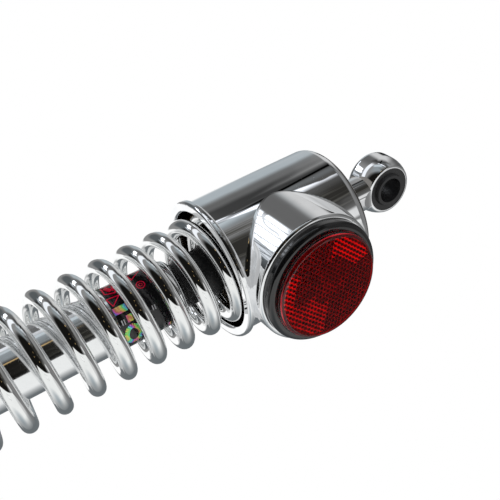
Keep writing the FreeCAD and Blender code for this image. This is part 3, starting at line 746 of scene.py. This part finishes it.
def cell_corners(x, z, radius, y):
    """Corners of a hexagonal cell, drawn in where they would leave the sheet."""
    corners = []
    for index in range(6):
        angle = PRISM_TURN + math.radians(60 * index + 30)
        across = Vector((math.cos(angle), math.sin(angle))) * radius + Vector((x, z))
        if across.length > PRISM_R:
            across *= PRISM_R / across.length
        corners.append(Vector((across.x, y, LENS_Z + across.y)))
    return corners


def cell_places():
    """Middles of the cells: rows of them along the sheet's turn."""
    rows = int(PRISM_R / PRISM_PITCH) + 3
    for row in range(-rows, rows + 1):
        for column in range(-rows, rows + 1):
            along = PRISM_PITCH * (column + row / 2)
            over = PRISM_PITCH * row * math.sqrt(3) / 2
            x = along * math.cos(PRISM_TURN) - over * math.sin(PRISM_TURN)
            z = along * math.sin(PRISM_TURN) + over * math.cos(PRISM_TURN)
            if math.hypot(x, z) <= PRISM_R + 0.3 * CELL_OUTER_R:
                yield x, z


def add_ribs(bm, rim, spread, sector):
    """The flat rib round a cell; in a sector painted bright, four of its six sides are painted bright.
    """
    for index in range(6):
        after = (index + 1) % 6
        if sector < 0.5:
            painted_light = 0.45
        elif index in (2, 5):
            painted_light = 0.5
        else:
            painted_light = sector
        add_face(bm, (rim[index], spread[index], spread[after], rim[after]), painted_light)


def add_corner_cube(bm, x, z, rim, sector):
    """Three square facets that meet behind the cell's middle, with their small side walls: the facets
    painted lit, in shade and half lit, the walls painted dark.
    """
    apex = Vector((x, PRISM_WEB_Y + 2 * CELL_RISE, LENS_Z + z))
    low = [point + Vector((0, CELL_RISE, 0)) for point in rim]
    # Painted light of the three facets: one lit, one in shade, one between
    lit = (0.9, 0.1, 0.25)
    for facet in range(3):
        first = 2 * facet
        second = first + 1
        third = (first + 2) % 6
        painted_light = sector * lit[facet] if sector > 0.5 else 0.1 * facet
        add_face(bm, (apex, low[first], rim[second], low[third]), painted_light)
        add_face(bm, (low[first], rim[first], rim[second]), 0.1)
        add_face(bm, (rim[second], rim[third], low[third]), 0.1)


def add_skirt(bm):
    """The wall behind the lens's side, from the prism sheet back to the housing, painted an even dim
    red.
    """
    profile = ((PRISM_R, PRISM_WEB_Y), (SKIRT_R, PRISM_WEB_Y + 0.5 * MM), (SKIRT_R, LENS_BACK))
    for index in range(ROUND_SEGMENTS):
        for near, far in zip(profile, profile[1:]):
            corners = []
            for step, (radius, y) in ((0, near), (1, near), (1, far), (0, far)):
                angle = 2 * math.pi * (index + step) / ROUND_SEGMENTS
                corners.append((radius * math.cos(angle), y, LENS_Z + radius * math.sin(angle)))
            add_face(bm, corners, SKIRT_PAINTED_LIGHT)


def build_prisms(material):
    """Sheet of corner-cube cells behind the lens, with a broad rib round each cell and a skirt; its
    light and shade are painted face by face.
    """
    bm = bmesh.new()
    bm.faces.layers.float.new("painted_light")
    for x, z in cell_places():
        sector = painted_sector_light(x, z)
        spread = cell_corners(x, z, CELL_OUTER_R, PRISM_WEB_Y)
        rim = cell_corners(x, z, CELL_R, PRISM_WEB_Y)
        add_ribs(bm, rim, spread, sector)
        if math.hypot(x, z) > PRISM_R - CELL_OUTER_R:
            # Cells cut by the sheet's edge stay flat and are painted dim
            add_face(bm, rim, 0.15)
        else:
            add_corner_cube(bm, x, z, rim, sector)
    add_skirt(bm)
    bmesh.ops.remove_doubles(bm, verts=bm.verts, dist=WELD)
    flat = [face for face in bm.faces if face.calc_area() < WELD ** 2]
    bmesh.ops.delete(bm, geom=flat, context="FACES_ONLY")
    prisms = mesh_object("lens_prisms", bm, smooth=False)
    prisms.data.materials.append(material)
    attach(prisms, "cover")
    return prisms


def wrapped(around_mm, level_mm):
    """A point on the label from the distance round the tube and the height over the label's foot."""
    radius = LABEL_R + LABEL_LIFT
    angle = around_mm * MM / LABEL_R + LABEL_START
    level = LABEL_LOW.z + level_mm * MM
    return Vector((radius * math.cos(angle), radius * math.sin(angle), level))


def stroke(bm, start, end, width):
    """A straight printed bar on the tube, bent round it in short steps."""
    start = Vector(start)
    end = Vector(end)
    run = end - start
    across = Vector((-run.y, run.x)).normalized() * width / 2
    steps = max(1, round(run.length / LABEL_STEP_MM))
    rows = []
    for step in range(steps + 1):
        middle = start + run * step / steps
        rows.append([bm.verts.new(wrapped(*(middle + across * side))) for side in (1, 0, -1)])
    for one, two in zip(rows, rows[1:]):
        for side in (0, 1):
            bm.faces.new((one[side], one[side + 1], two[side + 1], two[side]))


def closed_stroke(bm, corners, width):
    """A printed line through the corners and back to the first one."""
    for one, two in zip(corners, corners[1:] + corners[:1]):
        stroke(bm, one, two, width)


def oval(middle, half_around, half_level, count=26):
    """Corners of an oval on the label."""
    turns = [2 * math.pi * index / count for index in range(count)]
    return [(middle[0] + half_around * math.cos(turn), middle[1] + half_level * math.sin(turn))
            for turn in turns]


def draw_red(bm, start):
    """Red part of one motif, in millimetres: a four-sided mark with bars, triangles and a dot."""
    mark = [(start - 17, 1.5), (start - 16, 7), (start - 9.5, 5), (start - 11, 1)]
    low_triangle = [(start - 8.2, 0.2), (start - 7.6, 5.6), (start - 4.2, 1.2)]
    high_triangle = [(start - 19, 13.6), (start - 16, 18.6), (start - 11.8, 13.4)]
    dot = (start - 7.5, 15.2)
    closed_stroke(bm, mark, 0.6)
    stroke(bm, (start - 15.5, 2.6), (start - 11.5, 4.0), 2.0)
    stroke(bm, (start - 14.5, 5.6), (start - 11.0, 4.9), 0.9)
    closed_stroke(bm, low_triangle, 0.45)
    closed_stroke(bm, high_triangle, 0.5)
    closed_stroke(bm, oval(dot, 1.7, 1.7), 0.4)
    closed_stroke(bm, oval(dot, 0.7, 0.7, 12), 0.3)


def draw_foil(bm, start):
    """Rainbow part of one motif, in millimetres: bars and a broad ring."""
    stroke(bm, (start - 3.4, 2.9), (start - 0.4, 2.9), 5.6)
    stroke(bm, (start + 1.2, 4.9), (start + 4.2, 4.9), 2.4)
    closed_stroke(bm, oval((start + 10.2, 4.4), 4.0, 3.0), 2.0)
    stroke(bm, (start + 14, 20.4), (start + 16, 20.4), 1.2)


def draw_pale(bm, start):
    """Pale part of one motif, in millimetres: two pairs of dashes."""
    stroke(bm, (start + 2.2, 1.4), (start + 4.4, 1.4), 0.5)
    stroke(bm, (start + 2.2, 2.4), (start + 4.4, 2.4), 0.4)
    stroke(bm, (start + 2.4, 15.0), (start + 4.4, 15.0), 0.4)
    stroke(bm, (start + 2.4, 16.0), (start + 4.4, 16.0), 0.4)


def build_label_art(red, rainbow, pale):
    """Generic printed shapes: the same motif twice round the label."""
    layers = (
        ("label_art_red", draw_red, red),
        ("label_art_foil", draw_foil, rainbow),
        ("label_art_pale", draw_pale, pale),
    )
    for name, draw, material in layers:
        bm = bmesh.new()
        for start in (0.0, MOTIF_STEP_MM):
            draw(bm, start)
        piece = mesh_object(name, bm)
        piece.data.materials.append(material)
        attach(piece, "damper")


def paint_cad(finishes):
    """Every carried-over CAD node gets the finish of its own slot."""
    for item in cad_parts.values():
        for place in item.material_slots:
            key = place.material.name.split(".")[0]
            if key in finishes:
                place.material = finishes[key]


finishes = {
    "chrome": cover_chrome(),
    "spring_chrome": chrome("spring_chrome", (0.92, 0.93, 0.93), 0.015, 0.06, wave=0.02),
    "tube_chrome": chrome("tube_chrome", (0.90, 0.91, 0.92), 0.08, 0.14, wave=0.05, lines=0.0002),
    "satin_steel": metal("satin_steel", (0.62, 0.62, 0.61), (0.42, 0.42, 0.40), 0.24, 1.4, turned=True),
    "zinc_steel": metal("zinc_steel", (0.62, 0.63, 0.62), (0.45, 0.43, 0.36), 0.3, 2.2),
    "bare_steel": metal("bare_steel", (0.46, 0.46, 0.46), (0.27, 0.25, 0.22), 0.28, 1.8, turned=True),
    "sintered_iron": metal("sintered_iron", (0.26, 0.26, 0.26), (0.13, 0.12, 0.11), 0.5, 5.0),
    "black_rubber": rubber("black_rubber", (0.014, 0.014, 0.015), (0.035, 0.034, 0.033), 0.33),
    "seal_polymer": rubber("seal_polymer", (0.035, 0.025, 0.02), (0.06, 0.05, 0.045), 0.3),
    "black_plastic": gloss_black("black_plastic", (0.004, 0.004, 0.0045), 0.06),
    "red_lens": lens_red("red_lens", 1.55),
    "label_film": film_black(),
}

build_world()
add_camera()
add_floor()
add_key_light()
build_spring().data.materials.append(finishes["spring_chrome"])
build_lens(lens_red("red_lens_front", 1.12), finishes["red_lens"])
build_prisms(prism_red())
build_label_art(foil_red(), foil_rainbow(), ink_pale())
paint_cad(finishes)
